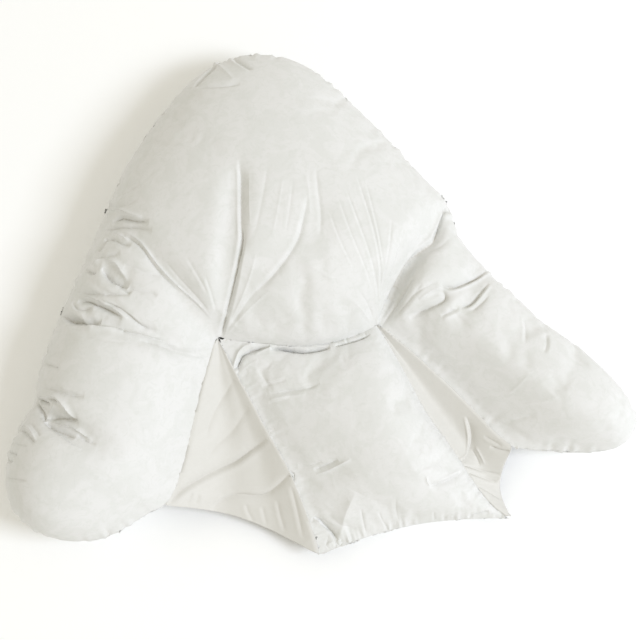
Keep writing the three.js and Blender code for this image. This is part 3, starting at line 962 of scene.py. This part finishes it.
def cotton(name, pale, shaded, painted_fold_shade, mottle):
    material = bpy.data.materials.new(name)
    material.use_nodes = True
    nodes = material.node_tree.nodes
    shader = nodes["Principled BSDF"]
    shader.inputs["Roughness"].default_value = 0.62
    shader.inputs["Specular IOR Level"].default_value = 0.35
    shader.inputs["Sheen Weight"].default_value = 0.06
    shader.inputs["Sheen Roughness"].default_value = 0.4

    where = nodes.new("ShaderNodeTexCoord")

    def cloud(scale, detail, distortion, low, high):
        texture = nodes.new("ShaderNodeTexNoise")
        texture.inputs["Scale"].default_value = scale
        texture.inputs["Detail"].default_value = detail
        texture.inputs["Roughness"].default_value = 0.6
        texture.inputs["Distortion"].default_value = distortion
        link(material, where.outputs["Object"], texture.inputs["Vector"])
        ramp = nodes.new("ShaderNodeMapRange")
        ramp.interpolation_type = "SMOOTHSTEP"
        ramp.inputs["From Min"].default_value = low
        ramp.inputs["From Max"].default_value = high
        link(material, texture.outputs["Fac"], ramp.inputs["Value"])
        return ramp.outputs["Result"]

    def blended(factor, a, b, strength):
        scaled = nodes.new("ShaderNodeMath")
        scaled.operation = "MULTIPLY"
        scaled.inputs[1].default_value = strength
        link(material, factor, scaled.inputs[0])
        mix = nodes.new("ShaderNodeMix")
        mix.data_type = "RGBA"
        link(material, scaled.outputs[0], mix.inputs["Factor"])
        for value, socket in ((a, mix.inputs["A"]), (b, mix.inputs["B"])):
            if isinstance(value, tuple):
                socket.default_value = (*value, 1)
            else:
                link(material, value, socket)
        return mix.outputs["Result"]

    clouds = blended(cloud(28, 8, 1.0, 0.42, 0.6), pale, shaded, mottle)
    streaks = blended(cloud(80, 8, 1.6, 0.5, 0.64), clouds, shaded, mottle)
    # Painted shade: the colour is mixed towards a darker brown where the cloth lies in a hollow
    fold_shade_mask = nodes.new("ShaderNodeAttribute")
    fold_shade_mask.attribute_name = "hollow"
    colour = blended(fold_shade_mask.outputs["Fac"], streaks, painted_fold_shade, 0.55)
    link(material, colour, shader.inputs["Base Color"])

    crumple = nodes.new("ShaderNodeTexNoise")
    crumple.noise_type = "RIDGED_MULTIFRACTAL"
    crumple.inputs["Scale"].default_value = 34
    crumple.inputs["Detail"].default_value = 4
    crumple.inputs["Roughness"].default_value = 0.5
    crumple.inputs["Distortion"].default_value = 1.4
    link(material, where.outputs["Object"], crumple.inputs["Vector"])
    crumpled = nodes.new("ShaderNodeBump")
    crumpled.inputs["Strength"].default_value = 0.5
    crumpled.inputs["Distance"].default_value = 0.0008
    link(material, crumple.outputs["Fac"], crumpled.inputs["Height"])

    weave = nodes.new("ShaderNodeTexNoise")
    weave.inputs["Scale"].default_value = 1500
    weave.inputs["Detail"].default_value = 1
    link(material, where.outputs["Object"], weave.inputs["Vector"])
    woven = nodes.new("ShaderNodeBump")
    woven.inputs["Strength"].default_value = 0.12
    woven.inputs["Distance"].default_value = 0.0002
    link(material, weave.outputs["Fac"], woven.inputs["Height"])
    link(material, crumpled.outputs["Normal"], woven.inputs["Normal"])
    link(material, woven.outputs["Normal"], shader.inputs["Normal"])
    return material


# The third colour of each cotton is the painted shade in its folds
feathered = cotton("feathered_cotton", (0.76, 0.76, 0.755), (0.685, 0.695, 0.67), (0.55, 0.515, 0.44), 0.42)
plain = cotton("plain_cotton", (0.695, 0.685, 0.655), (0.67, 0.66, 0.625), (0.55, 0.515, 0.44), 0.4)
for piece in (casing, pad):
    piece.data.materials.append(feathered)
for piece in (left_gusset, right_gusset):
    piece.data.materials.append(plain)

# %% Shade the cloth smoothly, but for the narrow faces at a crisp edge
for piece in (casing, pad, left_gusset, right_gusset):
    mesh = piece.data
    crisp = np.zeros(len(mesh.edges), bool)
    sides = np.empty(len(mesh.loops), dtype=np.int64)
    starts = np.empty(len(mesh.polygons), dtype=np.int64)
    mesh.edges.foreach_get("use_edge_sharp", crisp)
    mesh.loops.foreach_get("edge_index", sides)
    mesh.polygons.foreach_get("loop_start", starts)
    at_crisp_edge = np.logical_or.reduceat(crisp[sides], starts)
    mesh.polygons.foreach_set("use_smooth", ~at_crisp_edge)

# %% [markdown]
# ## Floor and light
# The picture has a plain white ground and soft light that comes from the right. One large
# light gives the direction, and a pale world fills the shade.

# %% Set up the floor and the light
bpy.ops.mesh.primitive_plane_add(size=9, location=(0, 0, -0.0005))
floor = bpy.context.object
floor.name = "floor"
ground = bpy.data.materials.new("ground")
ground.use_nodes = True
ground.node_tree.nodes["Principled BSDF"].inputs["Base Color"].default_value = (0.98, 0.985, 0.99, 1)
ground.node_tree.nodes["Principled BSDF"].inputs["Roughness"].default_value = 0.9
floor.data.materials.append(ground)

world = bpy.data.worlds.new("studio")
bpy.context.scene.world = world
world.use_nodes = True
world.node_tree.nodes["Background"].inputs["Color"].default_value = (1, 0.963, 0.85, 1)
world.node_tree.nodes["Background"].inputs["Strength"].default_value = 0.74


WINDOW_PLACE = Vector((4.42, -2.06, 4.88))
WINDOW_SIZE = 2.4
WINDOW_POWER = 270
WINDOW_COLOUR = (0.83, 0.885, 1.0)

bpy.ops.object.light_add(
    type="AREA", location=WINDOW_PLACE, rotation=WINDOW_PLACE.to_track_quat("Z", "Y").to_euler()
)
window = bpy.context.object
window.name = "window"
window.data.size = WINDOW_SIZE
window.data.energy = WINDOW_POWER
window.data.color = WINDOW_COLOUR
bpy.context.scene.view_settings.view_transform = "Standard"

# %% [markdown]
# ## Each cloth piece rides on the pillow's one body, and the solid that it came from is hidden.
# Each cloth piece stands for the solid that it came from and rides on the pillow's one body.

for piece, node, fill in ((casing, "winged_cushion", 0.75), (pad, "lumbar_pad", 0.7)):
    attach(piece, "root")
    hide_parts(node)
for piece, node, flat in (
    (left_gusset, "left_gusset", (0.21, 0.33)),
    (right_gusset, "right_gusset", (0.1, 0.32)),
):
    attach(piece, "root")
    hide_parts(node)

bpy.context.view_layer.update()
